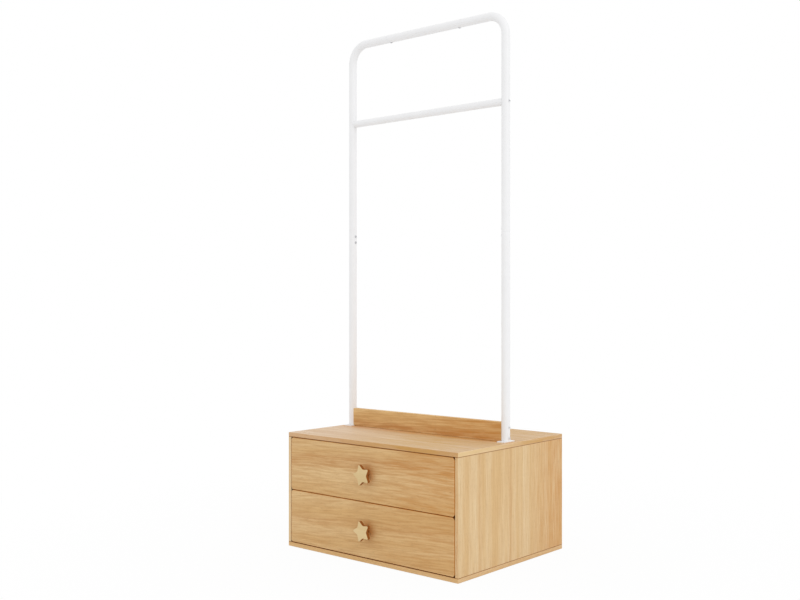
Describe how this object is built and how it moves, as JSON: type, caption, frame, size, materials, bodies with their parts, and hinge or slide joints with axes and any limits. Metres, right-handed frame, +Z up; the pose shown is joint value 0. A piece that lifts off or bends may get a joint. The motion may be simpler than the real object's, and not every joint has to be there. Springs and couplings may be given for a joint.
{
  "type": "clothes storage unit",
  "caption": "Free-standing clothes storage unit: a low wooden chest with flush star-knob drawers and a white tube rack with a hanging rail standing on its top.",
  "frame": {"origin": "on the floor under the middle of the chest", "axes": "+X to the right seen from the front, +Y to the back, away from the drawer fronts, +Z up"},
  "size_m": [0.75, 0.62, 1.8138],
  "materials": {
    "oak_board": "matt oak-grained board",
    "box_board": "matt pale board",
    "thin_board": "matt lacquered fibreboard",
    "rack_board_wood": "matt oiled wood",
    "knob_wood": "smooth pale wood",
    "dowel_wood": "plain beech",
    "white_tube": "satin white powder coat",
    "zinc_steel": "zinc plated"
  },
  "bodies": {
    "chest": {"top_panel": "oak_board", "bottom_panel": "oak_board", "left_side_panel": "oak_board", "right_side_panel": "oak_board", "back_panel": "thin_board", "carcass_cams": "zinc_steel", "carcass_cam_bolts": "zinc_steel", "carcass_dowels": "dowel_wood", "left_lower_post": "white_tube", "right_lower_post": "white_tube", "left_corner_tube": "white_tube", "right_corner_tube": "white_tube", "top_rail_tube": "white_tube", "tube_sleeves": "zinc_steel", "tube_joint_screws": "zinc_steel", "hanging_rail": "white_tube", "hanging_rail_inserts": "zinc_steel", "hanging_rail_bolts": "zinc_steel", "left_base_plate": "white_tube", "right_base_plate": "white_tube", "base_plate_bolts": "zinc_steel", "base_plate_nuts": "zinc_steel", "rack_board": "rack_board_wood", "rack_board_bolts": "zinc_steel", "rack_board_inserts": "zinc_steel", "cabinet_runner_screws": "zinc_steel", "upper_left_cabinet_runner": "zinc_steel", "upper_right_cabinet_runner": "zinc_steel", "lower_left_cabinet_runner": "zinc_steel", "lower_right_cabinet_runner": "zinc_steel"},
    "upper_drawer": {"upper_drawer_front": "oak_board", "upper_drawer_left_side": "box_board", "upper_drawer_right_side": "box_board", "upper_drawer_back": "box_board", "upper_drawer_bottom": "thin_board", "upper_drawer_dowels": "dowel_wood", "upper_star_plate": "knob_wood", "upper_knob_stem": "knob_wood", "upper_knob_screw": "zinc_steel", "upper_left_drawer_runner": "zinc_steel", "upper_right_drawer_runner": "zinc_steel", "upper_drawer_runner_screws": "zinc_steel"},
    "upper_middle_runners": {"upper_middle_runners": "zinc_steel"},
    "upper_outer_ball_cages": {"upper_outer_ball_cages": "zinc_steel"},
    "upper_inner_ball_cages": {"upper_inner_ball_cages": "zinc_steel"},
    "lower_drawer": {"lower_drawer_front": "oak_board", "lower_drawer_left_side": "box_board", "lower_drawer_right_side": "box_board", "lower_drawer_back": "box_board", "lower_drawer_bottom": "thin_board", "lower_drawer_dowels": "dowel_wood", "lower_star_plate": "knob_wood", "lower_knob_stem": "knob_wood", "lower_knob_screw": "zinc_steel", "lower_left_drawer_runner": "zinc_steel", "lower_right_drawer_runner": "zinc_steel", "lower_drawer_runner_screws": "zinc_steel"},
    "lower_middle_runners": {"lower_middle_runners": "zinc_steel"},
    "lower_outer_ball_cages": {"lower_outer_ball_cages": "zinc_steel"},
    "lower_inner_ball_cages": {"lower_inner_ball_cages": "zinc_steel"}
  },
  "joints": [
    {"name": "upper_drawer_slide", "type": "slide", "parent": "chest", "child": "upper_drawer", "axis": [0, -1, 0], "range_m": [0, 0.48]},
    {"name": "upper_middle_slide", "type": "slide", "parent": "chest", "child": "upper_middle_runners", "axis": [0, -1, 0], "range_m": [0, 0.24]},
    {"name": "upper_outer_cage_slide", "type": "slide", "parent": "chest", "child": "upper_outer_ball_cages", "axis": [0, -1, 0], "range_m": [0, 0.12]},
    {"name": "upper_inner_cage_slide", "type": "slide", "parent": "chest", "child": "upper_inner_ball_cages", "axis": [0, -1, 0], "range_m": [0, 0.36]},
    {"name": "lower_drawer_slide", "type": "slide", "parent": "chest", "child": "lower_drawer", "axis": [0, -1, 0], "range_m": [0, 0.48]},
    {"name": "lower_middle_slide", "type": "slide", "parent": "chest", "child": "lower_middle_runners", "axis": [0, -1, 0], "range_m": [0, 0.24]},
    {"name": "lower_outer_cage_slide", "type": "slide", "parent": "chest", "child": "lower_outer_ball_cages", "axis": [0, -1, 0], "range_m": [0, 0.12]},
    {"name": "lower_inner_cage_slide", "type": "slide", "parent": "chest", "child": "lower_inner_ball_cages", "axis": [0, -1, 0], "range_m": [0, 0.36]}
  ],
  "couplings": [
    {"joint": "upper_middle_slide", "follows": "upper_drawer_slide", "ratio": 0.5},
    {"joint": "upper_outer_cage_slide", "follows": "upper_drawer_slide", "ratio": 0.25},
    {"joint": "upper_inner_cage_slide", "follows": "upper_drawer_slide", "ratio": 0.75},
    {"joint": "lower_middle_slide", "follows": "lower_drawer_slide", "ratio": 0.5},
    {"joint": "lower_outer_cage_slide", "follows": "lower_drawer_slide", "ratio": 0.25},
    {"joint": "lower_inner_cage_slide", "follows": "lower_drawer_slide", "ratio": 0.75}
  ]
}
